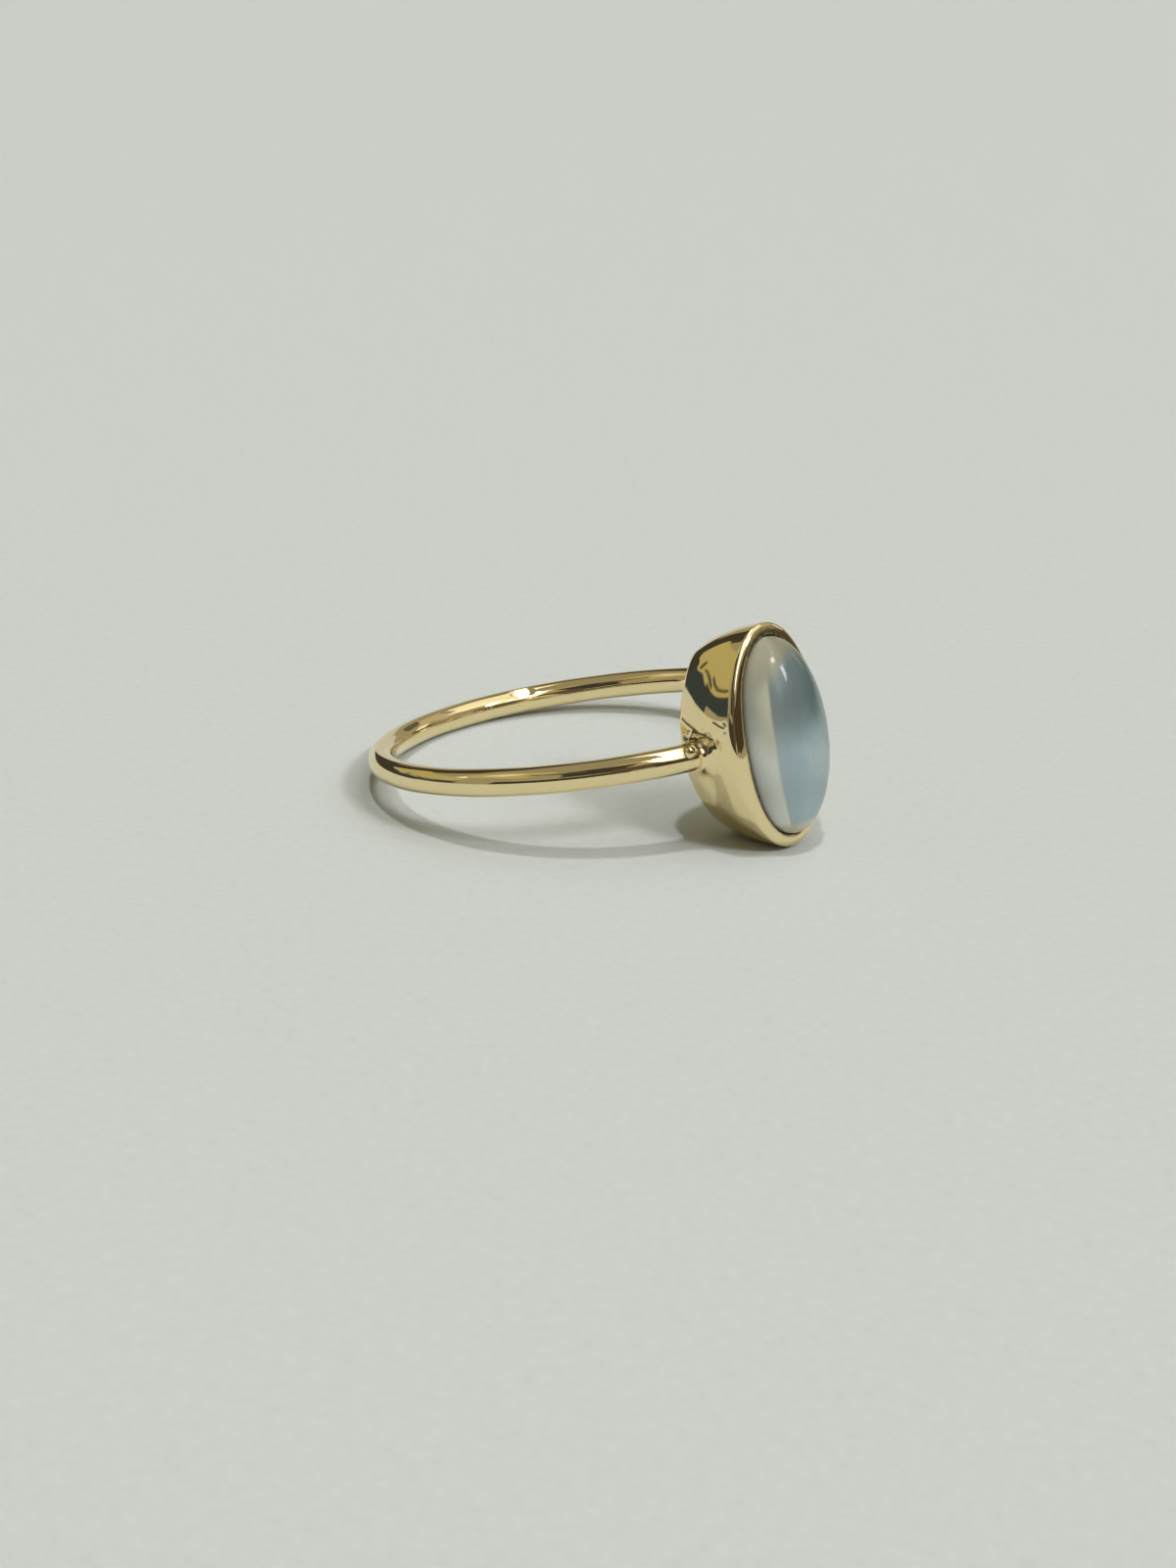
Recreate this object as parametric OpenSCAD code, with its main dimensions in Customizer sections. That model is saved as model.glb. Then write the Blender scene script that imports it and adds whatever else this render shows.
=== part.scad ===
// Moonstone ring: a round gold wire band soldered to the sides of an oval bezel cup,
// with a smooth oval cabochon of moonstone set in the cup.
// It lies on its side as such a ring does: the back of the band and the lower end of
// the cup touch the surface, so the whole ring leans. All sizes are in millimetres.

/* [Band] */
// Inside diameter of the band, a ring size
finger_d = 17.35; // [15.6:0.05:19.8]
// Diameter of the round wire
wire_d = 1.15; // [0.9:0.05:1.5]

/* [Bezel cup] */
// Length of the cup at its rim, along the finger
cup_length = 9.14; // [8:0.02:10.5]
// Width of the cup at its rim, across the finger
cup_width = 5.42; // [4.8:0.02:6.4]
// Height of the cup from its closed back to its rim
cup_depth = 3.17; // [2.8:0.01:3.6]
// How far the long sides of the cup draw in from rim to back, at each end
cup_taper = 0.75; // [0.5:0.01:0.9]
// Distance from the finger's centre to the closed back of the cup
back_distance = 7.45; // [6.9:0.01:7.9]
// Width of the metal round the stone at the rim
rim_w = 0.5; // [0.35:0.01:0.6]
// Rounding of the rim's outer edge
rim_round = 0.22; // [0.1:0.01:0.3]
// Rounding of the cup's back edge
back_round = 0.45; // [0.25:0.01:0.6]
// Lean of the cup along the finger, in degrees
cup_lean = 2.35; // [0:0.05:3]
// Offset of the cup along the finger
cup_offset = 0.12; // [0:0.01:0.25]

/* [Moonstone] */
// Height of the dome above the rim
dome_h = 1.66; // [1.2:0.01:2.1]
// Depth of the stone's straight side below the rim
seat_depth = 1.9; // [1.5:0.05:2.1]
// Clearance between the stone and its seat
stone_gap = 0.04; // [0.02:0.01:0.06]

/* [Solder] */
// Length of the flare where the wire runs into the cup
flare_l = 0.9; // [0.6:0.05:1.1]
// Radius of the flare at the cup, as a share of the wire's radius
flare_grow = 1.55; // [1.3:0.05:1.7]
// Diameter of the bead of solder left on the near joint
bead_d = 0.42; // [0.3:0.02:0.5]

/* [Hidden] */
$fn = 96;

// Radii of the wire and of the circle that its centre follows
wire_r = wire_d / 2;
band_r = finger_d / 2 + wire_r;

// Half sizes of the cup's oval, and the share that turns its round form into the oval
cup_a = cup_length / 2;
cup_b = cup_width / 2;
oval = cup_b / cup_a;

// Half sizes of the seat's oval
seat_a = cup_a - rim_w;
seat_b = cup_b - rim_w;

// The cup's side is one arc, upright at the rim. Its radius and its centre's distance
// from the cup's axis follow from the taper and the depth.
side_r = (cup_depth * cup_depth + cup_taper * cup_taper) / (2 * cup_taper);
side_c = cup_a - side_r;

// Place of the cup's middle on the band's own X axis
cup_mid = back_distance + cup_depth / 2;

// Centre of the arc at the cup's lower end, seen from the side of the ring
rest_along = side_r - cup_a;
rest_x = cup_mid + cos(cup_lean) * cup_depth / 2 - sin(cup_lean) * rest_along;
rest_z = sin(cup_lean) * cup_depth / 2 + cos(cup_lean) * rest_along + cup_offset;

// The flat surface touches two circles there: the wire's section at the back of the
// band, and that arc. Their common tangent gives the lean of the whole ring.
rest_span = sqrt(pow(band_r + rest_x, 2) + pow(rest_z, 2));
tilt = asin((side_r - wire_r) / rest_span) - atan2(rest_z, band_r + rest_x);
lift = band_r * sin(tilt) + wire_r;

// Reach of the dome and of the band along X once the ring leans, to centre it
dome_turn = tilt + cup_lean;
dome_x = cup_mid + cos(cup_lean) * cup_depth / 2;
dome_z = sin(cup_lean) * cup_depth / 2 + cup_offset;
dome_a = seat_a - stone_gap;
dome_reach = sqrt(pow(dome_h * cos(dome_turn), 2) + pow(dome_a * sin(dome_turn), 2));
high_x = dome_x * cos(tilt) - dome_z * sin(tilt) + dome_reach;
low_x = -(band_r * cos(tilt) + wire_r);
shift = -(high_x + low_x) / 2;

// Angles round the band: where the wire ends inside the cup, and where it meets the side
buried_turn = asin(0.62 * cup_b / band_r);
joint_turn = asin(0.9 * cup_b / band_r);
// Angle round the band from the joint to the bead
bead_turn = 3.6;

// Height of the rounded edges' centres, and their distance from the cup's axis
function edge_centre(height, r) =
    side_c + sqrt(pow(side_r - r, 2) - pow(cup_depth - height, 2));

// Carries a shape from the band's own frame to where the ring lies
module lying() {
    translate([shift, 0, lift])
        rotate([0, -tilt, 0])
            children();
}

// Carries a shape from the cup's own frame, its axis up from the back, to the band's
module on_band() {
    translate([cup_mid, 0, cup_offset])
        rotate([0, -cup_lean, 0])
            translate([-cup_depth / 2, 0, 0])
                rotate([0, 90, 0])
                    children();
}

// Half section of the cup's outside, with its back on the X axis
module cup_section() {
    back_c = edge_centre(back_round, back_round);
    rim_c = edge_centre(cup_depth - rim_round, rim_round);
    back_dir = [back_c - side_c, back_round - cup_depth] / (side_r - back_round);
    rim_dir = [rim_c - side_c, -rim_round] / (side_r - rim_round);
    difference() {
        intersection() {
            translate([side_c, cup_depth])
                circle(side_r, $fn = 360);
            square([cup_a + 1, cup_depth]);
        }
        // Corner at the back edge
        polygon([
            [back_c, back_round],
            [back_c, -1],
            [cup_a + 1, -1],
            [side_c, cup_depth] + back_dir * (side_r + 1)
        ]);
        // Corner at the rim
        polygon([
            [rim_c, cup_depth - rim_round],
            [side_c, cup_depth] + rim_dir * (side_r + 1),
            [cup_a + 1, cup_depth + 1],
            [rim_c, cup_depth + 1]
        ]);
    }
    translate([back_c, back_round])
        circle(back_round);
    translate([rim_c, cup_depth - rim_round])
        circle(rim_round);
}

// Solid oval form of the cup before the seat is cut
module cup_form() {
    scale([1, oval, 1])
        rotate_extrude()
            cup_section();
}

// Oval prism with half length a and half width b
module oval_prism(a, b, h) {
    scale([1, b / a, 1])
        cylinder(h = h, r = a);
}

// Round wire bent to a circle, open where the cup stands
module band() {
    rotate_extrude(angle = 360 - 2 * buried_turn, start = buried_turn)
        translate([band_r, 0])
            circle(wire_r);
}

// Flare of solder round the wire on one side of the cup, wider towards the cup
module flare(side) {
    rotate([0, 0, side * joint_turn])
        translate([band_r, 0, 0])
            rotate([-90 * side, 0, 0])
                cylinder(h = flare_l, r1 = flare_grow * wire_r, r2 = 0.9 * wire_r);
}

// Bead of solder on the outside of the near joint
module bead() {
    rotate([0, 0, -joint_turn - bead_turn])
        translate([band_r + 0.75 * wire_r, 0, 0.55 * wire_r])
            sphere(d = bead_d);
}

// Band, bezel cup and solder: one piece of gold
module gold_mount() {
    color([0.80, 0.68, 0.42])
        lying()
            difference() {
                union() {
                    band();
                    flare(-1);
                    flare(1);
                    bead();
                    on_band()
                        cup_form();
                }
                on_band()
                    translate([0, 0, cup_depth - seat_depth])
                        oval_prism(seat_a, seat_b, seat_depth + 1);
            }
}

// Cabochon: an upright oval side below the rim and an elliptic dome above it
module moonstone() {
    stone_a = seat_a - stone_gap;
    stone_b = seat_b - stone_gap;
    base = cup_depth - seat_depth + stone_gap;
    color([0.56, 0.62, 0.64])
        lying()
            on_band() {
                translate([0, 0, base])
                    oval_prism(stone_a, stone_b, cup_depth - base);
                translate([0, 0, cup_depth])
                    intersection() {
                        scale([1, stone_b / stone_a, dome_h / stone_a])
                            sphere(r = stone_a);
                        translate([-cup_a, -cup_a, 0])
                            cube([cup_length, cup_length, dome_h + 1]);
                    }
            }
}

gold_mount();
moonstone();
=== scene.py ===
"""A gold wire ring with a moonstone in an oval bezel cup, lying on its side on a pale sheet.

The ring is worked out in two sets of axes. The band's own axes have the finger along Z and
the cup on +X. The cup's own axes have its height along X, its width along Y and its length
along Z. `on_band` and `lying` carry points from the cup to the band and to the surface.
"""

import math

import bpy
import numpy as np
from mathutils import Matrix, Vector


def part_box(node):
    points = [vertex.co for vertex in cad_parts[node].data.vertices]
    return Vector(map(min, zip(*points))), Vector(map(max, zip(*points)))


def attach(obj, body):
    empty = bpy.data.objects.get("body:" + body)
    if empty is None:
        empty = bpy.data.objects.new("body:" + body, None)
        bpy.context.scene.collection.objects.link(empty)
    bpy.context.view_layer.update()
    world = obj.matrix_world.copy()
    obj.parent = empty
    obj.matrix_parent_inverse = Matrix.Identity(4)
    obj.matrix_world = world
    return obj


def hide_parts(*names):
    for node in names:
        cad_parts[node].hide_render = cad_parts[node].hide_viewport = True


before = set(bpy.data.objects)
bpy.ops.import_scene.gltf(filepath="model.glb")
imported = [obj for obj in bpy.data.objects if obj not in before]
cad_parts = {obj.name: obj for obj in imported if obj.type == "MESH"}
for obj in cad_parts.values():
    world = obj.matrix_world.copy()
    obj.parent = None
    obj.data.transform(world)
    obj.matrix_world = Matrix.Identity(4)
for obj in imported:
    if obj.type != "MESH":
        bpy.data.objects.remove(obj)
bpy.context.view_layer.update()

MM = 0.001
TURN = 2 * math.pi

# Driving sizes of the ring, the same as in its solids
FINGER_D = 17.35 * MM
WIRE_R = 0.575 * MM
CUP_A = 4.57 * MM
CUP_B = 2.71 * MM
CUP_DEPTH = 3.17 * MM
CUP_TAPER = 0.75 * MM
BACK_DISTANCE = 7.45 * MM
RIM_W = 0.50 * MM
BACK_ROUND = 0.45 * MM
CUP_LEAN = math.radians(2.35)
CUP_OFFSET = 0.12 * MM
DOME_H = 1.66 * MM
SEAT_DEPTH = 1.90 * MM
STONE_GAP = 0.04 * MM

# Sizes of the hand work that the solids leave out
LIP_H = 0.21 * MM
LIP_EDGE = 0.05 * MM
LIP_THIN = 0.85  # share of its height that the lip loses at the upper end
SWELL_H = 0.31 * MM
SWELL_REACH = 2.3 * MM
FILLET_LOW = 0.44 * MM
FILLET_TOP = 0.52 * MM
BLUNT = 0.30  # what the upper end adds to the oval's power of 2, at the back

# Worked out from them
BAND_R = FINGER_D / 2 + WIRE_R
OVAL = CUP_B / CUP_A
SEAT_A = CUP_A - RIM_W
SEAT_B = CUP_B - RIM_W
SIDE_R = (CUP_DEPTH ** 2 + CUP_TAPER ** 2) / (2 * CUP_TAPER)
SIDE_C = CUP_A - SIDE_R
CUP_MID = BACK_DISTANCE + CUP_DEPTH / 2


def resting_tilt():
    """The lean of the ring on its surface: the common tangent under two circles, the wire's
    section at the back of the band and the arc of the cup's lower end."""
    along = SIDE_R - CUP_A
    x = CUP_MID + math.cos(CUP_LEAN) * CUP_DEPTH / 2 - math.sin(CUP_LEAN) * along
    z = math.sin(CUP_LEAN) * CUP_DEPTH / 2 + math.cos(CUP_LEAN) * along + CUP_OFFSET
    span = math.hypot(BAND_R + x, z)
    return math.asin((SIDE_R - WIRE_R) / span) - math.atan2(z, BAND_R + x)


TILT = resting_tilt()
LIFT = BAND_R * math.sin(TILT) + WIRE_R
# The back of the band is the lowest X of the solids, which places the ring along X
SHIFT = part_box("gold_mount")[0].x + BAND_R * math.cos(TILT) + WIRE_R


def turned(points, angle):
    """Points turned in the XZ plane, from X towards Z: the plane rotation formula."""
    c, s = math.cos(angle), math.sin(angle)
    x, y, z = np.moveaxis(points, -1, 0)
    return np.stack([c * x - s * z, y, s * x + c * z], -1)


def on_band(points):
    """From the cup's axes, whose origin is the middle of its back, to the band's axes."""
    moved = turned(points - np.array([CUP_DEPTH / 2, 0, 0]), CUP_LEAN)
    return moved + np.array([CUP_MID, 0, CUP_OFFSET])


def lying(points):
    """From the band's axes to the ring lying on its surface."""
    return turned(points, TILT) + np.array([SHIFT, 0, LIFT])


def ripple(points, wavelength, height, seed, waves=14):
    """The slight unevenness of a hand-finished surface: the sum of sine waves that run in
    random directions with random phases, over the root of their number."""
    rng = np.random.default_rng(seed)
    direction = rng.normal(size=(waves, 3))
    direction /= np.linalg.norm(direction, axis=1)[:, None]
    rate = TURN / (wavelength * rng.uniform(0.75, 1.6, waves))
    phase = rng.uniform(0, TURN, waves)
    swing = np.sin(points @ (direction * rate[:, None]).T + phase)
    return height * swing.sum(-1) / math.sqrt(waves)


def smooth(low, high, x):
    """0 below low, 1 above high, and 3t^2 - 2t^3 between them."""
    t = np.clip((x - low) / (high - low), 0, 1)
    return t * t * (3 - 2 * t)


def grid_normals(grid):
    """Unit normals of a grid whose second direction closes on itself: the cross product of
    the central differences along the two directions."""
    along = np.gradient(grid, axis=0)
    around = np.roll(grid, -1, axis=1) - np.roll(grid, 1, axis=1)
    normal = np.cross(along, around)
    length = np.linalg.norm(normal, axis=-1, keepdims=True)
    return normal / np.maximum(length, 1e-12)


def closed_mesh(name, grid, first_pole, last_pole, attributes):
    """A closed skin over a grid (rows, columns, 3) whose columns close on themselves: quads
    between neighbouring rows, and a fan of triangles from each end row to its pole.
    attributes are values for the materials, by name, each a grid (rows, columns)."""
    rows, columns = grid.shape[:2]
    points = np.concatenate([grid.reshape(-1, 3), [first_pole, last_pole]])
    index = np.arange(rows * columns).reshape(rows, columns)
    across = np.roll(index, -1, axis=1)
    quads = np.stack([index[:-1], across[:-1], across[1:], index[1:]], -1).reshape(-1, 4)
    start, end = rows * columns, rows * columns + 1
    first = np.stack([np.full(columns, start), across[0], index[0]], -1)
    last = np.stack([np.full(columns, end), index[-1], across[-1]], -1)
    corners = np.concatenate([quads.ravel(), first.ravel(), last.ravel()])
    sizes = np.concatenate([np.full(len(quads), 4), np.full(2 * columns, 3)])
    mesh = bpy.data.meshes.new(name)
    mesh.vertices.add(len(points))
    mesh.vertices.foreach_set("co", lying(points).astype(np.float32).ravel())
    mesh.loops.add(len(corners))
    mesh.loops.foreach_set("vertex_index", corners.astype(np.int32))
    mesh.polygons.add(len(sizes))
    starts = np.concatenate([[0], np.cumsum(sizes)[:-1]])
    mesh.polygons.foreach_set("loop_start", starts.astype(np.int32))
    mesh.polygons.foreach_set("use_smooth", np.ones(len(sizes), bool))
    mesh.update(calc_edges=True)
    for key, values in attributes.items():
        layer = mesh.attributes.new(key, "FLOAT", "POINT")
        painted_lip_view = [values[0].mean(), values[-1].mean()]
        layer.data.foreach_set("value", np.append(values.ravel(), painted_lip_view).astype(np.float32))
    piece = bpy.data.objects.new(name, mesh)
    bpy.context.scene.collection.objects.link(piece)
    return piece


def spread(count, total, crowded):
    """Angles from 0 to total that lie closer together near some places: the inverse of the
    running sum of a density of 1 plus a bell for each (place, width, weight)."""
    fine = np.linspace(0, total, 20000)
    density = np.ones_like(fine)
    for place, width, weight in crowded:
        away = (fine - place + total / 2) % total - total / 2
        density += weight * np.exp(-(away / width) ** 2)
    run = np.concatenate([[0], np.cumsum((density[1:] + density[:-1]) / 2)])
    return np.interp(np.linspace(0, run[-1], count, endpoint=False), run, fine)


# Band: a round wire carried round a circle

WIRE_SECTIONS = 700
WIRE_SIDES = 72
# The wire's ends lie inside the cup's wall, at this share of its half width
BURIED = 0.905
BURIED_TURN = math.asin(BURIED * CUP_B / BAND_R)
# The bead of solder: its place on the wire, its radius and how far its middle is from the
# wire's. The last is the width of a brown ring that darkens the wire round its foot.
BEAD_TURN = -math.radians(22.2)
BEAD_SIDE = math.radians(34)
BEAD_R = 0.26 * MM
BEAD_OUT = 0.92 * WIRE_R
BEAD_RING_W = 0.07 * MM
# The filed flat: its place, its reach round the wire and its half length along it
FLAT_TURN = math.radians(156.6)
FLAT_SIDE = math.radians(132)
FLAT_REACH = math.radians(26)
FLAT_HALF = 0.60 * MM


def band_point(turn, side, radius):
    """A point on a ring of wire: a circle of the given radius stood on the band's centre
    circle. turn runs round the finger from the cup, side round the wire from outside."""
    reach = BAND_R + radius * np.cos(side)
    height = radius * np.sin(side) + 0 * turn
    return np.stack([reach * np.cos(turn), reach * np.sin(turn), height], -1)


def bead_centre():
    """The middle of the bead of solder."""
    return band_point(np.array(BEAD_TURN), np.array(BEAD_SIDE), BEAD_OUT)


def wire_band():
    """The wire, from inside the near side of the cup round to inside its far side. Its
    radius varies a little along it, as drawn wire bent by hand does. On its far side the file
    left a small oval flat, where the radius is r cos(reach) / cos(angle) with the angle
    counted from the flat's middle."""
    turn = np.linspace(BURIED_TURN, TURN - BURIED_TURN, WIRE_SECTIONS)[:, None]
    # Counted backwards, which turns the faces outward
    side = -np.linspace(0, TURN, WIRE_SIDES, endpoint=False)[None, :]
    true = band_point(turn, side, WIRE_R)
    uneven = ripple(true, wavelength=3.2 * MM, height=0.006 * MM, seed=11)
    uneven = uneven + ripple(true, wavelength=0.9 * MM, height=0.0009 * MM, seed=12)
    angle = (side - FLAT_SIDE + TURN / 2) % TURN - TURN / 2
    off = (turn - FLAT_TURN) * BAND_R / FLAT_HALF
    # The cut is whole within an oval and fades out over its edge
    inside = 1 - smooth(0.8, 1.1, np.hypot(off, angle / (1.25 * FLAT_REACH)))
    cut = 1 - math.cos(FLAT_REACH) / np.cos(np.clip(angle, -FLAT_REACH, FLAT_REACH))
    uneven = uneven - WIRE_R * cut * inside
    grid = band_point(turn, side, WIRE_R + uneven)
    from_bead = np.linalg.norm(true - bead_centre(), axis=-1) - BEAD_R
    tarnish = 0.9 * np.exp(-(from_bead / BEAD_RING_W) ** 2)
    painted_lip_view = [band_point(np.array(t), np.array(0.0), 0.0) for t in (turn[0, 0], turn[-1, 0])]
    return closed_mesh("wire_band", grid, painted_lip_view[0], painted_lip_view[1], {"tarnish": tarnish})


# Bezel cup: a section of arcs carried round an oval

CUP_COLUMNS = 520
# Columns lie closer at the near and the far joint: (place, width, weight)
CUP_CROWDED = ((TURN / 2, 0.55, 3.5), (0, 0.5, 1.2))
# Rows of the section, in their order
PLATE_ROWS = 16
BACK_ROWS = 14
SIDE_ROWS = 100
LIP_ROWS = 24
EDGE_ROWS = 5
WALL_ROWS = 13
BASE_ROWS = 9
SEAT_ROWS = EDGE_ROWS + WALL_ROWS + BASE_ROWS


def arc(centre, radius, start, end, count):
    """Points on an arc: centre plus radius times the cosine and sine of evenly stepped angles."""
    angle = np.linspace(start, end, count)
    return centre[0] + radius * np.cos(angle), centre[1] + radius * np.sin(angle)


def edge_centre(height, radius):
    """Distance from the cup's axis of the centre of a rounded edge inside the side's arc."""
    return SIDE_C + math.sqrt((SIDE_R - radius) ** 2 - (CUP_DEPTH - height) ** 2)


def cup_section():
    """The cup's half section as rows of (half length, half width, height): the back, its
    rounded edge, the side's arc, the lip, the seat and its floor. The lip is a quarter of an
    ellipse, pressed over from the side to the stone."""
    back = (edge_centre(BACK_ROUND, BACK_ROUND), BACK_ROUND)
    back_angle = math.atan2(back[1] - CUP_DEPTH, back[0] - SIDE_C)
    lip_angle = math.asin(-LIP_H / SIDE_R)
    plate = np.linspace(0.1, 0.97, PLATE_ROWS) * back[0]
    outside = [
        (plate, np.zeros_like(plate)),
        arc(back, BACK_ROUND, -TURN / 4, back_angle, BACK_ROWS),
        arc((SIDE_C, CUP_DEPTH), SIDE_R, back_angle, lip_angle, SIDE_ROWS),
    ]
    length = np.concatenate([part[0] for part in outside])
    height = np.concatenate([part[1] for part in outside])
    width = length * OVAL
    bend = np.linspace(0, TURN / 4, LIP_ROWS + 1)[1:]
    inner_a, inner_b = SEAT_A + LIP_EDGE, SEAT_B + LIP_EDGE
    lip_a = inner_a + (length[-1] - inner_a) * np.cos(bend)
    lip_b = inner_b + (width[-1] - inner_b) * np.cos(bend)
    lip_h = height[-1] + LIP_H * np.sin(bend)
    # Small rounding of the lip's inner edge, then the seat
    turn = np.linspace(0, TURN / 4, EDGE_ROWS + 1)[1:]
    drop = LIP_EDGE * (1 - np.cos(turn))
    inward = LIP_EDGE * (1 - np.sin(turn))
    bottom = CUP_DEPTH - SEAT_DEPTH
    wall = np.linspace(CUP_DEPTH - LIP_EDGE, bottom, WALL_ROWS + 1)[1:]
    base = np.linspace(1, 0.1, BASE_ROWS + 1)[1:]
    upright = np.ones(WALL_ROWS)
    length = np.concatenate([length, lip_a, SEAT_A + inward, SEAT_A * upright, SEAT_A * base])
    width = np.concatenate([width, lip_b, SEAT_B + inward, SEAT_B * upright, SEAT_B * base])
    height = np.concatenate([height, lip_h, CUP_DEPTH - drop, wall, np.full(BASE_ROWS, bottom)])
    return length, width, height


# Marks on the near side of the cup, where the solder ran, and a patch of painted shade. The
# path of each is in mm over the side, as (height from the back, place along the cup), and its
# half width and depth in mm.
SOLDER_EDGE = ((0.25, 1.22), (0.60, 1.07), (1.08, 0.90), (1.34, 0.77), (1.54, 0.70), (1.79, 0.67))
SOLDER_TIP = ((1.60, 0.57), (1.95, 0.58), (2.11, 0.44), (2.05, 0.30), (1.92, 0.14))
FLUX_STAIN = ((1.66, 0.40), (1.78, 0.28), (1.96, 0.24))
# The shadowed corner is painted shade: a dark patch where shade falls, with a slight hollow
SHADOWED_CORNER = ((0.40, 0.48), (0.62, 0.42))
SCRATCH = ((2.25, 1.17), (2.38, 1.12), (2.50, 1.04), (2.62, 0.99), (2.78, 0.95))
UPPER_PIT = ((2.80, 1.13), (2.85, 1.05))
LOWER_PIT = ((2.78, 0.76), (2.84, 0.75))
MARKS = (
    # path, half width, depth, darkening (painted shade in the shadowed corner, stain elsewhere)
    (SOLDER_EDGE, 0.045, 0.012, 1.0),
    (SOLDER_TIP, 0.040, 0.010, 1.0),
    (FLUX_STAIN, 0.10, 0.006, 0.9),
    (SHADOWED_CORNER, 0.11, 0.015, 1.0),
    (SCRATCH, 0.030, 0.006, 0.9),
    (UPPER_PIT, 0.045, 0.010, 1.0),
    (LOWER_PIT, 0.045, 0.006, 0.5),
)


def path_distance(points, path):
    """Distance of points in a plane from a path of straight pieces, which is the distance to
    each piece's start plus its step times the share (p - start) . step / |step|^2, in 0..1."""
    path = np.array(path) * MM
    start, step = path[:-1], np.diff(path, axis=0)
    reach = points[..., None, :] - start
    share = np.clip((reach * step).sum(-1) / (step ** 2).sum(-1), 0, 1)
    return np.linalg.norm(reach - share[..., None] * step, axis=-1).min(-1)


def marks(oval):
    """Depth and darkening of the marks, stain and in the shadowed corner painted shade: each a
    bell exp(-(distance / half width)^2) round its path.
    """
    depth, stain_and_shade = np.zeros(oval.shape[:2]), np.zeros(oval.shape[:2])
    near = oval[..., 1] < 0
    for path, half_width, deep, brown in MARKS:
        bell = np.exp(-(path_distance(oval[..., ::2], path) / (half_width * MM)) ** 2) * near
        depth += deep * MM * bell
        stain_and_shade = np.maximum(stain_and_shade, brown * bell)
    return depth, stain_and_shade


def solder_height(points):
    """How far the side stands out round the wire: a broad swell of height times
    exp(-(distance / reach)^2), and a hollow fillet of solder against the wire, wider over it
    than under it. With x the distance from the wire over the fillet's radius R, the fillet's
    height is R (1 - sqrt(1 - (1 - x)^2)). The distance from the wire is returned as well."""
    x, y, z = np.moveaxis(points, -1, 0)
    centre = np.hypot(np.hypot(x, y) - BAND_R, z)
    away = centre - WIRE_R
    swell = SWELL_H * np.exp(-(centre / SWELL_REACH) ** 2)
    over = smooth(-0.5, 1.0, z / np.maximum(centre, 1e-6))
    radius = FILLET_LOW + (FILLET_TOP - FILLET_LOW) * over
    radius = radius * (1 + ripple(points, wavelength=0.7 * MM, height=0.30, seed=31) * over)
    share = np.clip(away / radius, 0, 1)
    fillet = radius * (1 - np.sqrt(np.maximum(1 - (1 - share) ** 2, 0)))
    return np.where(x > 0, swell + fillet, 0), away


def bezel_cup():
    """The cup: its half section carried round the oval, so that a point is (height, half
    width times cosine, half length times sine), with solder and unevenness along the normal.
    Towards the back its upper end is blunter: there cosine and sine are raised to the power
    2 / n, which makes the oval |y / width|^n + |z / length|^n = 1."""
    length, width, height = (part[:, None] for part in cup_section())
    around = spread(CUP_COLUMNS, TURN, CUP_CROWDED)[None, :]
    outside = (np.arange(len(height)) < len(height) - SEAT_ROWS)[:, None]
    blunt = BLUNT * (1 - height / CUP_DEPTH) * smooth(-0.1, 0.5, np.sin(around)) * outside
    power = 2 / (2 + blunt)
    # The lip is pressed thinner at the upper end
    lip = np.maximum(height - CUP_DEPTH, 0)
    level = height - lip * LIP_THIN * smooth(0.55, 0.95, np.sin(around))
    across = np.sign(np.cos(around)) * np.abs(np.cos(around)) ** power
    along = np.sign(np.sin(around)) * np.abs(np.sin(around)) ** power
    oval = np.stack([level, width * across, length * along], -1)
    grid = on_band(oval)
    normal = -grid_normals(grid)
    solder, away = solder_height(grid)
    depth, stain_and_shade = marks(oval)
    uneven = ripple(grid, wavelength=3.0 * MM, height=0.020 * MM, seed=21)
    uneven = uneven + ripple(grid, wavelength=1.2 * MM, height=0.005 * MM, seed=22)
    # Over the wire the solder ran, and its skin is rougher
    run = (1 - smooth(0.35 * MM, 0.60 * MM, away)) * smooth(-0.1 * MM, 0.3 * MM, oval[..., 2])
    uneven = uneven + run * ripple(grid, wavelength=0.26 * MM, height=0.009 * MM, seed=23)
    grid = grid + normal * ((solder + uneven - depth) * outside)[..., None]
    # A brown line where the far side of the cup meets the wire
    crease = 0.7 * np.exp(-(away / (0.10 * MM)) ** 2) * (oval[..., 1] > 0)
    # Painted shade in the seam beside the stone: a brown band, wider at the upper end, where it
    # also paints the stone's dark reflection in the lip
    seam_width = (0.07 + 0.20 * smooth(0.75, 1.0, np.sin(around))) * MM
    seam_shade = 0.9 * np.exp(-((length - SEAT_A - LIP_EDGE) / seam_width) ** 2)
    seam_shade = seam_shade * (height > CUP_DEPTH - 2 * LIP_EDGE)
    tarnish = np.maximum(np.maximum(stain_and_shade, crease) * outside, seam_shade)
    poles = on_band(np.array([[0, 0, 0], [CUP_DEPTH - SEAT_DEPTH, 0, 0]]))
    return closed_mesh("bezel_cup", grid, poles[0], poles[1], {"tarnish": tarnish})


# Solder bead on the near joint


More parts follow.
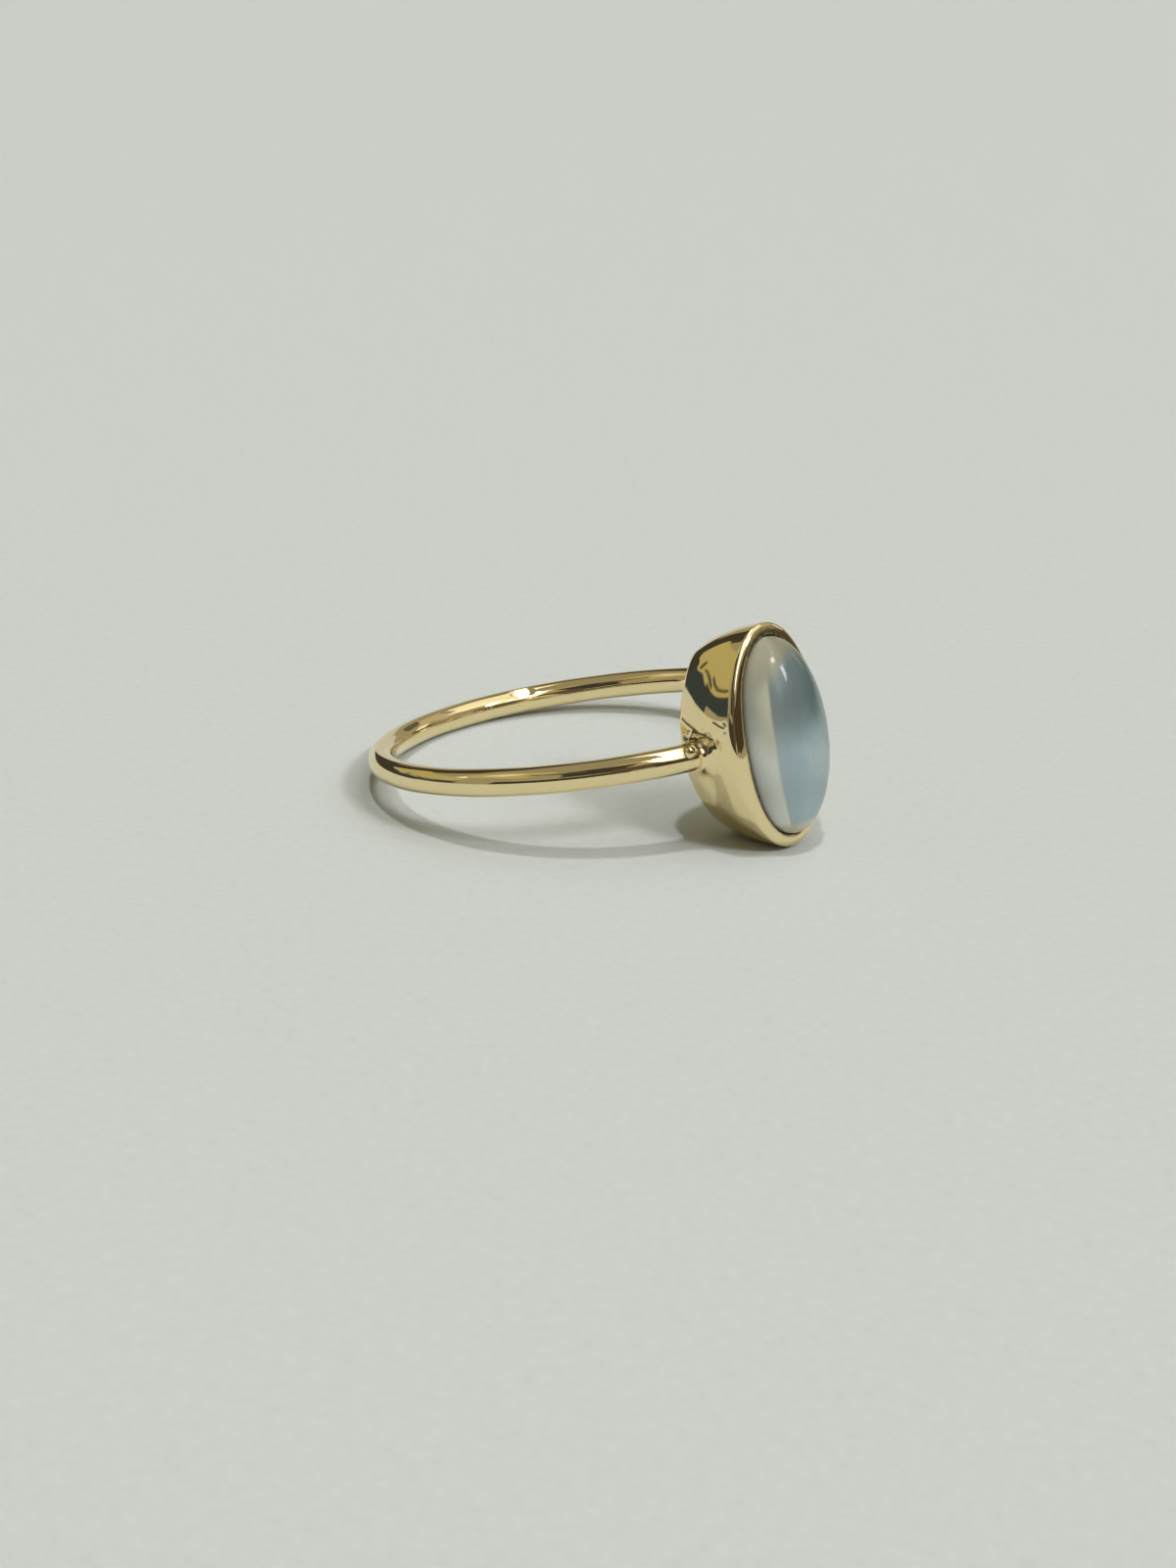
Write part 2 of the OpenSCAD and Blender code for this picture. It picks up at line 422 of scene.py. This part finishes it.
def solder_bead():
    """A bead of solder: a slightly uneven ball, half sunk in the wire."""
    rise = np.linspace(-TURN / 4, TURN / 4, 42)[1:-1, None]
    around = np.linspace(0, TURN, 60, endpoint=False)[None, :]
    ball = np.stack([
        np.cos(rise) * np.cos(around),
        np.cos(rise) * np.sin(around),
        np.sin(rise) + 0 * around,
    ], -1)
    radius = BEAD_R + ripple(ball * BEAD_R, wavelength=0.3 * MM, height=0.012 * MM, seed=41)
    grid = bead_centre() + ball * radius[..., None]
    poles = bead_centre() + np.array([[0, 0, -BEAD_R], [0, 0, BEAD_R]])
    tarnish = np.full(grid.shape[:2], 0.08)
    return closed_mesh("solder_bead", grid, poles[0], poles[1], {"tarnish": tarnish})


# Moonstone

DOME_ROWS = 110
GIRDLE_ROWS = 15
UNDER_ROWS = 9
STONE_COLUMNS = 300


def moonstone():
    """The cabochon: half an ellipsoid over an upright oval side, with a flat base. On the
    dome a point is h sin(s) over the rim, and a cos(s) or b cos(s) from the axis at the ends
    or the sides."""
    a, b = SEAT_A - STONE_GAP, SEAT_B - STONE_GAP
    base = CUP_DEPTH - SEAT_DEPTH + STONE_GAP
    rise = np.linspace(0.985 * TURN / 4, 0, DOME_ROWS)
    cap_h, cap_r = CUP_DEPTH + DOME_H * np.sin(rise), np.cos(rise)
    side_h = np.linspace(CUP_DEPTH, base, GIRDLE_ROWS + 1)[1:]
    under = np.linspace(1, 0.1, UNDER_ROWS + 1)[1:]
    height = np.concatenate([cap_h, side_h, np.full(UNDER_ROWS, base)])[:, None]
    share = np.concatenate([cap_r, np.ones(GIRDLE_ROWS), under])[:, None]
    # Counted backwards, which turns the faces outward
    around = -np.linspace(0, TURN, STONE_COLUMNS, endpoint=False)[None, :]
    grid = on_band(np.stack([
        height + 0 * around,
        b * share * np.cos(around),
        a * share * np.sin(around),
    ], -1))
    poles = on_band(np.array([[CUP_DEPTH + DOME_H, 0, 0], [base, 0, 0]]))
    # Places from -1 to 1, across the stone and along it, for its painted colours and light
    along = share * np.sin(around)
    across = share * np.cos(around) / np.sqrt(np.maximum(1 - along ** 2, 1e-4))
    places = {"across": across, "along": along}
    return closed_mesh("moonstone_cabochon", grid, poles[0], poles[1], places)


# Materials


def linear(code):
    """A colour for Blender from an sRGB hex value."""
    parts = np.array([int(code[i:i + 2], 16) for i in (1, 3, 5)]) / 255
    light = np.where(parts <= 0.04045, parts / 12.92, ((parts + 0.055) / 1.055) ** 2.4)
    return (*light, 1.0)


def add(tree, kind, settings=None, **inputs):
    """Adds a node. settings are its properties. inputs are its sockets by name, with _ for a
    blank, or by number as i0, i1; each is a value or a (node, output) pair."""
    node = tree.nodes.new(kind)
    for key, value in (settings or {}).items():
        setattr(node, key, value)
    for key, value in inputs.items():
        place = int(key[1:]) if key[0] == "i" and key[1:].isdigit() else key.replace("_", " ")
        socket = node.inputs[place]
        if isinstance(value, tuple) and isinstance(value[0], bpy.types.Node):
            tree.links.new(value[0].outputs[value[1]], socket)
        else:
            socket.default_value = value
    return node


def new_material(name):
    """A material with an empty node tree but for its output."""
    material = bpy.data.materials.new(name)
    material.use_nodes = True
    material.node_tree.nodes.clear()
    return material, material.node_tree


def polished_gold():
    """14 carat yellow gold, drawn and filed by hand, then polished: a warm pale mirror that
    is broken by fine handling scratches and by brown tarnish in the solder joints. The same brown
    paints shade in one corner of the cup and in the seam beside the stone."""
    material, tree = new_material("polished_14_carat_gold")
    place = add(tree, "ShaderNodeTexCoord")
    # Soft clouds of wear about a millimetre across
    clouds = add(tree, "ShaderNodeTexNoise", Vector=(place, "Object"), Scale=1 / (1.1 * MM), Detail=3.0)
    # Scratches 0.03 mm apart and 1 mm long; finer ones would not show
    lay = add(
        tree, "ShaderNodeMapping", Vector=(place, "Object"),
        Rotation=(0.3, 0.5, 0.9), Scale=(1, 9, 30),
    )
    scratch = add(tree, "ShaderNodeTexNoise", Vector=(lay, 0), Scale=1 / (1.0 * MM), Detail=2.0)
    tone = add(
        tree, "ShaderNodeMix", {"data_type": "RGBA"},
        Factor=(clouds, "Fac"), i6=linear("#F8E6B6"), i7=linear("#F4E1AD"),
    )
    # The tarnish attribute also carries painted shade: a corner of the cup and the seam by the stone
    tarnish = add(tree, "ShaderNodeAttribute", {"attribute_name": "tarnish"})
    spots = add(tree, "ShaderNodeTexNoise", Vector=(place, "Object"), Scale=1 / (0.16 * MM), Detail=4.0)
    patchy = add(
        tree, "ShaderNodeMapRange", Value=(spots, "Fac"),
        From_Min=0.36, From_Max=0.56, To_Min=0.55,
    )
    brown = add(tree, "ShaderNodeMath", {"operation": "MULTIPLY"}, i0=(tarnish, "Fac"), i1=(patchy, 0))
    colour = add(
        tree, "ShaderNodeMix", {"data_type": "RGBA"},
        Factor=(brown, 0), i6=(tone, 2), i7=linear("#3E3018"),
    )
    rough = add(
        tree, "ShaderNodeMapRange", Value=(clouds, "Fac"),
        From_Min=0.3, From_Max=0.7, To_Min=0.025, To_Max=0.06,
    )
    dull = add(
        tree, "ShaderNodeMath", {"operation": "MULTIPLY_ADD"},
        i0=(brown, 0), i1=0.35, i2=(rough, 0),
    )
    bump = add(tree, "ShaderNodeBump", Height=(scratch, "Fac"), Strength=0.07, Distance=0.004 * MM)
    shader = add(
        tree, "ShaderNodeBsdfPrincipled",
        Base_Color=(colour, 2), Metallic=1.0, Roughness=(dull, 0), Normal=(bump, 0),
    )
    add(tree, "ShaderNodeOutputMaterial", Surface=(shader, 0))
    return material


# Painted colours of the stone, by place from its near side (0) to its far side (1): in its
# lower half, in its upper half, and where the pale line shows. The near side's warm grey and
# the pale line are a painted view of the stone's ground base and side through the dome. The
# blue-grey beyond holds a painted blue sheen. The upper half is darker as a painted reflection
# of the dim room, the lower half lighter as a painted reflection of the floor.
STONE_LOWER = (
    (0.000, "#D6DBD5"),
    (0.110, "#D0D5C8"),
    (0.135, "#A5B1B5"),
    (0.220, "#9AADB0"),
    (0.400, "#98ABAE"),
    (0.650, "#8D9FA1"),
    (1.000, "#798686"),
)
STONE_UPPER = (
    (0.000, "#ABAFA3"),
    (0.110, "#B4B5A7"),
    (0.135, "#848B87"),
    (0.220, "#7A8583"),
    (0.420, "#667374"),
    (0.650, "#586967"),
    (1.000, "#525C59"),
)
STONE_LINE = (
    (0.030, "#000000"),
    (0.092, "#FFFFFF"),
    (0.112, "#FFFFFF"),
    (0.132, "#000000"),
)


def polished_moonstone():
    """Moonstone, a milky feldspar ground and polished as a cabochon. Much of its colour is painted
    light. The eye meets a warm grey edge and a pale line, a painted view of the ground base and
    side through the dome, then a cool blue-grey depth with a painted blue sheen, darker in the
    upper half as a painted reflection of the dim room, with a painted sheen cloud in it. The upper
    end is a little clearer and painted browner, as the gold lip seen through the clear stone; the
    lower end is painted paler and warmer. The polish is high, the light inside soft."""
    material, tree = new_material("polished_moonstone_feldspar")
    place = add(tree, "ShaderNodeTexCoord")
    across = add(tree, "ShaderNodeAttribute", {"attribute_name": "across"})
    along = add(tree, "ShaderNodeAttribute", {"attribute_name": "along"})
    smoothed = {"interpolation_type": "SMOOTHSTEP"}
    # The painted bands waver by a few hundredths of the width
    waver = add(tree, "ShaderNodeTexNoise", Vector=(place, "Object"), Scale=1 / (1.7 * MM), Detail=3.0)
    shifted = add(
        tree, "ShaderNodeMath", {"operation": "MULTIPLY_ADD"},
        i0=(waver, "Fac"), i1=0.07, i2=(across, "Fac"),
    )
    layer = add(tree, "ShaderNodeMapRange", Value=(shifted, 0), From_Min=-0.965, From_Max=1.035)
    ramps = []
    for rows in (STONE_LOWER, STONE_UPPER, STONE_LINE):
        ramp = add(tree, "ShaderNodeValToRGB", Fac=(layer, 0))
        stops = ramp.color_ramp.elements
        while len(stops) < len(rows):
            stops.new(0.5)
        for stop, (where, colour) in zip(stops, rows):
            stop.position = where
            stop.color = linear(colour)
        ramps.append(ramp)
    lower, upper, line = ramps
    # The lower half's colours change to the upper half's, darker by painted reflection of the dim
    # room, over an uneven border
    uneven = add(
        tree, "ShaderNodeMath", {"operation": "MULTIPLY_ADD"},
        i0=(waver, "Fac"), i1=0.5, i2=(along, "Fac"),
    )
    rising = add(tree, "ShaderNodeMapRange", smoothed, Value=(uneven, 0), From_Min=0.10, From_Max=0.66)
    painted_view = add(
        tree, "ShaderNodeMix", {"data_type": "RGBA"},
        Factor=(rising, 0), i6=(lower, "Color"), i7=(upper, "Color"),
    )
    # The pale line, a painted view of the corner of the stone's ground base and side through the
    # dome, which fades out in the lower half
    half = add(
        tree, "ShaderNodeMapRange", smoothed, Value=(along, "Fac"),
        From_Min=-0.25, From_Max=0.15,
    )
    shown = add(tree, "ShaderNodeMath", {"operation": "MULTIPLY"}, i0=(half, 0), i1=(line, "Color"))
    lined = add(
        tree, "ShaderNodeMix", {"data_type": "RGBA"},
        Factor=(shown, 0), i6=(painted_view, 2), i7=linear("#BFBDA8"),
    )
    # The cloud: a painted sheen, a pale oval of milky glow a little below the middle, with a
    # ragged edge
    spot = add(tree, "ShaderNodeCombineXYZ", X=(layer, 0), Y=(along, "Fac"))
    own = add(
        tree, "ShaderNodeMapping", {"vector_type": "TEXTURE"}, Vector=(spot, 0),
        Location=(0.62, -0.30, 0), Scale=(0.32, 0.34, 1),
    )
    reach = add(tree, "ShaderNodeVectorMath", {"operation": "LENGTH"}, Vector=(own, 0))
    mist = add(tree, "ShaderNodeTexNoise", Vector=(place, "Object"), Scale=1 / (0.75 * MM), Detail=4.0)
    ragged = add(
        tree, "ShaderNodeMath", {"operation": "MULTIPLY_ADD"},
        i0=(mist, "Fac"), i1=1.6, i2=(reach, "Value"),
    )
    sheen_cloud = add(
        tree, "ShaderNodeMapRange", smoothed, Value=(ragged, 0),
        From_Min=1.90, From_Max=0.95, To_Max=0.26,
    )
    with_sheen = add(
        tree, "ShaderNodeMix", {"data_type": "RGBA"},
        Factor=(sheen_cloud, 0), i6=(lined, 2), i7=linear("#C4CAC2"),
    )
    # Fine streaks that run from end to end
    lay = add(tree, "ShaderNodeMapping", Vector=(place, "Object"), Scale=(1.0, 1.0, 0.12))
    streak = add(tree, "ShaderNodeTexNoise", Vector=(lay, 0), Scale=1 / (0.35 * MM), Detail=2.0)
    fine = add(tree, "ShaderNodeMapRange", Value=(streak, "Fac"), To_Min=0.97, To_Max=1.03)
    # Painted light: brighter towards the lower end
    painted_brightening = add(
        tree, "ShaderNodeMapRange", smoothed, Value=(along, "Fac"),
        From_Min=-0.45, From_Max=-0.85, To_Min=1.0, To_Max=1.24,
    )
    shade = add(tree, "ShaderNodeMath", {"operation": "MULTIPLY"}, i0=(fine, 0), i1=(painted_brightening, 0))
    streaked = add(
        tree, "ShaderNodeVectorMath", {"operation": "SCALE"}, Vector=(with_sheen, 2), Scale=(shade, 0),
    )
    # The ends. The lower one is short and painted paler.
    foot = add(
        tree, "ShaderNodeMapRange", smoothed, Value=(along, "Fac"),
        From_Min=-0.82, From_Max=-0.92,
    )
    footed = add(
        tree, "ShaderNodeMix", {"data_type": "RGBA"},
        Factor=(foot, 0), i6=(streaked, 0), i7=linear("#D0CCB8"),
    )
    # The upper one is painted brown-grey, as the gold lip seen through the clear stone. It slants:
    # it reaches farther down on the near side, and is greyer there
    near = add(tree, "ShaderNodeMath", {"operation": "MINIMUM"}, i0=(layer, 0), i1=0.44)
    slanted = add(
        tree, "ShaderNodeMath", {"operation": "MULTIPLY_ADD"},
        i0=(near, 0), i1=-0.72, i2=(along, "Fac"),
    )
    end = add(tree, "ShaderNodeMapRange", smoothed, Value=(slanted, 0), From_Min=0.40, From_Max=0.62)
    far = add(tree, "ShaderNodeMapRange", Value=(layer, 0), From_Max=0.42)
    painted_lip_view = add(
        tree, "ShaderNodeMix", {"data_type": "RGBA"},
        Factor=(far, 0), i6=linear("#ACAB96"), i7=linear("#898570"),
    )
    colour = add(
        tree, "ShaderNodeMix", {"data_type": "RGBA"},
        Factor=(end, 0), i6=(footed, 2), i7=(painted_lip_view, 2),
    )
    # Its very tip takes in more light and mirrors less
    tip = add(tree, "ShaderNodeMapRange", smoothed, Value=(along, "Fac"), From_Min=0.80, From_Max=0.93)
    clear = add(tree, "ShaderNodeMapRange", Value=(tip, 0), To_Min=0.15, To_Max=0.18)
    shine = add(tree, "ShaderNodeMapRange", Value=(tip, 0), To_Min=0.5, To_Max=0.08)
    shader = add(
        tree, "ShaderNodeBsdfPrincipled",
        Base_Color=(colour, 2), Roughness=0.11, IOR=1.52, Specular_IOR_Level=(shine, 0),
        Subsurface_Weight=0.8, Subsurface_Radius=(1.0, 1.1, 1.3), Subsurface_Scale=0.35 * MM,
        Transmission_Weight=(clear, 0),
    )
    add(tree, "ShaderNodeOutputMaterial", Surface=(shader, 0))
    return material


def matt_paper():
    """Uncoated pale paper: an even warm grey with no gloss, faintly mottled by its fibres,
    with a fine tooth."""
    material, tree = new_material("pale_uncoated_paper")
    place = add(tree, "ShaderNodeTexCoord")
    mottle = add(
        tree, "ShaderNodeTexNoise", Vector=(place, "Object"),
        Scale=1 / (0.45 * MM), Detail=3.0,
    )
    colour = add(
        tree, "ShaderNodeMix", {"data_type": "RGBA"},
        Factor=(mottle, "Fac"), i6=linear("#B1B5B3"), i7=linear("#BBBFBD"),
    )
    tooth = add(tree, "ShaderNodeTexNoise", Vector=(place, "Object"), Scale=1 / (0.3 * MM), Detail=3.0)
    bump = add(tree, "ShaderNodeBump", Height=(tooth, "Fac"), Strength=0.6, Distance=0.03 * MM)
    shader = add(
        tree, "ShaderNodeBsdfPrincipled",
        Base_Color=(colour, 2), Roughness=0.95, Specular_IOR_Level=0.1, Normal=(bump, 0),
    )
    add(tree, "ShaderNodeOutputMaterial", Surface=(shader, 0))
    return material


# Stage, light and camera


def heading(azimuth, elevation):
    """The unit vector towards an azimuth, counted from +Y towards +X, and an elevation."""
    a, e = math.radians(azimuth), math.radians(elevation)
    return Vector((math.sin(a) * math.cos(e), math.cos(a) * math.cos(e), math.sin(e)))


def floor():
    """A plain pale sheet, flat and far wider than the view."""
    half = 2.0
    corners = [(-half, -half, 0), (half, -half, 0), (half, half, 0), (-half, half, 0)]
    mesh = bpy.data.meshes.new("floor")
    mesh.from_pydata(corners, [], [(0, 1, 2, 3)])
    sheet = bpy.data.objects.new("floor", mesh)
    bpy.context.scene.collection.objects.link(sheet)
    mesh.materials.append(matt_paper())


LAMPS = (
    # name, azimuth, elevation and width in degrees, strength in watts for each square metre
    ("key_light", 132, 79, 3.8, 1.12),
    ("window_light", 90, 41, 10.0, 1.4),
)


def lamps():
    """Two distant lamps: the key, high over the ring and small enough to give the band's shadow
    an edge, and the window's soft light from the right. Polished faces meet them as cards."""
    for name, azimuth, elevation, width, strength in LAMPS:
        lamp = bpy.data.lights.new(name, "SUN")
        lamp.angle = math.radians(width)
        lamp.energy = strength
        holder = bpy.data.objects.new(name, lamp)
        holder.rotation_euler = heading(azimuth, elevation).to_track_quat("Z", "Y").to_euler()
        holder.visible_glossy = False
        holder.visible_transmission = False
        bpy.context.scene.collection.objects.link(holder)


# The studio round the table, as the polished metal sees it. Each card is a rectangle in the
# sky: azimuth and elevation of its middle, half width and half height, all in degrees, then
# softness of its edge as a share of those half sizes, brightness and colour. Later cards lie
# over earlier ones.
CARDS = (
    # name, azimuth, elevation, half width, half height, softness, brightness, colour
    ("ceiling", 12, 64, 24, 14, 0.10, 1.00, "#FFFDF0"),
    ("far_wall_end", -48, 44, 8, 9, 0.06, 0.20, "#FFF2C4"),
    ("far_wall", -71, 36, 17, 12, 0.04, 0.06, "#FFEFC0"),
    ("far_wall_right", 6, 36, 24, 9, 0.05, 0.50, "#FFF4D8"),
    ("backdrop", -44, 5, 18, 8, 0.05, 0.58, "#FFFCF4"),
    ("wall_left", -111, 19, 29, 14, 0.03, 0.46, "#FFF3B4"),
    ("doorway", -73, 28, 8, 21, 0.02, 0.05, "#FFF4E0"),
    ("skirting", -78, 6, 19, 7.5, 0.02, 0.05, "#FFF4E0"),
    ("cloth_left", -108, 4, 15, 7.5, 0.02, 0.12, "#9FB4C8"),
    ("cloth_end", -132, 8.2, 15, 5.0, 0.02, 0.12, "#9FB4C8"),
    ("rail_near", -116, 14.2, 6, 0.7, 0.01, 0.08, "#FFF4E0"),
    ("rail_end", -127, 16.6, 7, 0.7, 0.01, 0.08, "#FFF4E0"),
    ("rail_foot", -104, 16, 2.5, 3, 0.04, 0.12, "#FFF4E0"),
    ("front_wall", -148, 50, 24, 14, 0.05, 0.47, "#FFF0B8"),
    ("wall_right", 118, 54, 9, 15, 0.05, 0.42, "#FFF0B8"),
    ("dark_panel", 143, 40, 15, 18, 0.05, 0.05, "#FFF4EC"),
    ("beam", 172, 50, 13, 4, 0.04, 0.10, "#FFF0D8"),
    ("cloth_right", 156, 5, 35, 12, 0.03, 0.05, "#FFF4EC"),
    ("low_right", 116, 22, 14, 14, 0.04, 0.10, "#FFE8D8"),
    ("dark_corner", -20, 25, 11, 5, 0.03, 0.12, "#FFF8D8"),
    ("far_skirting", 28, 6, 24, 9, 0.03, 0.10, "#FFE8D0"),
    ("dark_right", 84, 14, 24, 10, 0.03, 0.06, "#FFE0C0"),
    ("window", 93.5, 47, 9, 16, 0.02, 1.9, "#E4ECFF"),
    ("pale_curtain", 44, 50, 19, 9.5, 0.04, 1.05, "#FFFFF0"),
    ("window_side", 72, 46, 9, 13, 0.04, 1.15, "#FFFFF0"),
    ("window_glow", 66, 40, 4, 5, 0.02, 13.0, "#E4ECFF"),
    ("lamp_left", -139, 52, 7, 6, 0.03, 0.75, "#FFFDF0"),
    ("glint_left", -130, 36, 2.5, 2, 0.01, 1.3, "#FFFDF0"),
    ("small_lamp", 10, 18, 5, 6, 0.03, 0.9, "#FFFDF0"),
    ("lamp_behind", -33, 70, 4, 2, 0.02, 1.3, "#FFFDF4"),
    ("lamp_over", 24, 76, 16, 2.6, 0.02, 4.5, "#FFFDF4"),
    ("round_lamp", 88, 62, 4, 3.5, 0.02, 14.0, "#FFFAF0"),
)
# Brightness of the dim room behind the cards, level with the table and overhead
VAULT_LOW = 0.34
VAULT_HIGH = 0.30
VAULT_COLOUR = "#FFF8DC"
# How far a sight line wavers, as a share of its length
WAVER = 0.09


def glow(level, colour):
    """A light's colour: its linear colour times its brightness."""
    return (*(level * part for part in linear(colour)[:3]), 1.0)


def card(tree, sight, under, row):
    """Lays one card over the light found so far. The sight line is turned into the card's own
    frame and divided by its half sizes. It meets the card where the larger of |x| and |z| is
    less than y."""
    name, azimuth, elevation, half_width, half_height, softness, level, colour = row
    own = add(
        tree, "ShaderNodeMapping", {"vector_type": "TEXTURE", "label": name}, Vector=sight,
        Rotation=(math.radians(elevation), 0, -math.radians(azimuth)),
        Scale=(math.tan(math.radians(half_width)), 1, math.tan(math.radians(half_height))),
    )
    split = add(tree, "ShaderNodeSeparateXYZ", Vector=(own, 0))
    across = add(tree, "ShaderNodeMath", {"operation": "ABSOLUTE"}, i0=(split, "X"))
    upright = add(tree, "ShaderNodeMath", {"operation": "ABSOLUTE"}, i0=(split, "Z"))
    farther = add(tree, "ShaderNodeMath", {"operation": "MAXIMUM"}, i0=(across, 0), i1=(upright, 0))
    beyond = add(tree, "ShaderNodeMath", {"operation": "SUBTRACT"}, i0=(farther, 0), i1=(split, "Y"))
    inside = add(
        tree, "ShaderNodeMapRange", {"interpolation_type": "SMOOTHSTEP"}, Value=(beyond, 0),
        From_Min=softness, From_Max=-softness,
    )
    return add(
        tree, "ShaderNodeMix", {"data_type": "RGBA"},
        Factor=(inside, 0), i6=(under, 2), i7=glow(level, colour),
    )


def room():
    """The room as light: a dim vault, a little darker overhead, with cards in it. The camera
    itself sees only a plain pale ground."""
    world = bpy.data.worlds.new("room")
    bpy.context.scene.world = world
    world.use_nodes = True
    tree = world.node_tree
    tree.nodes.clear()
    place = add(tree, "ShaderNodeTexCoord")
    # Things in a room have no ruled edges, so the sight line wavers by a degree or two
    waver = add(tree, "ShaderNodeTexNoise", Vector=(place, "Generated"), Scale=5.0, Detail=0.0)
    sight = add(
        tree, "ShaderNodeVectorMath", {"operation": "MULTIPLY_ADD"},
        i0=(waver, "Color"), i1=(WAVER, WAVER, WAVER), i2=(place, "Generated"),
    )
    middle = (WAVER / 2, WAVER / 2, WAVER / 2)
    sight = add(tree, "ShaderNodeVectorMath", {"operation": "SUBTRACT"}, i0=(sight, 0), i1=middle)
    height = add(tree, "ShaderNodeSeparateXYZ", Vector=(place, "Generated"))
    light = add(
        tree, "ShaderNodeMix", {"data_type": "RGBA"}, Factor=(height, "Z"),
        i6=glow(VAULT_LOW, VAULT_COLOUR), i7=glow(VAULT_HIGH, VAULT_COLOUR),
    )
    for row in CARDS:
        light = card(tree, (sight, 0), light, row)
    seen = add(tree, "ShaderNodeLightPath")
    chosen = add(
        tree, "ShaderNodeMix", {"data_type": "RGBA"},
        Factor=(seen, "Is Camera Ray"), i6=(light, 2), i7=linear("#CECFC9"),
    )
    ground = add(tree, "ShaderNodeBackground", Color=(chosen, 2), Strength=1.0)
    add(tree, "ShaderNodeOutputWorld", Surface=(ground, 0))


CAMERA_PLACE = Vector((65.08, -69.14, 36.21)) * MM
CAMERA_AZIMUTH = -43.98
CAMERA_DIP = 20.82
CAMERA_ROLL = 0.32
# Twice a phone's main lens: 2400 pixels over the picture's 1600, on a 36 mm sensor
CAMERA_LENS = 36 * 2400 / 1600


def camera():
    """The camera at the photograph's place, level but for a third of a degree."""
    data = bpy.data.cameras.new("camera")
    data.lens = CAMERA_LENS
    data.sensor_width = 36
    data.clip_start = 0.005
    data.clip_end = 10
    eye = bpy.data.objects.new("camera", data)
    look = heading(CAMERA_AZIMUTH, -CAMERA_DIP)
    level = (-look).to_track_quat("Z", "Y").to_matrix().to_4x4()
    roll = Matrix.Rotation(math.radians(CAMERA_ROLL), 4, "Z")
    eye.matrix_world = Matrix.Translation(CAMERA_PLACE) @ level @ roll
    bpy.context.scene.collection.objects.link(eye)
    bpy.context.scene.camera = eye


# The ring

gold = polished_gold()
for piece in (wire_band(), bezel_cup(), solder_bead()):
    piece.data.materials.append(gold)
    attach(piece, "root")
    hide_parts("gold_mount")

stone = moonstone()
stone.data.materials.append(polished_moonstone())
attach(stone, "root")
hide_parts("moonstone")

floor()
lamps()
room()
camera()
bpy.context.scene.view_settings.view_transform = "Standard"
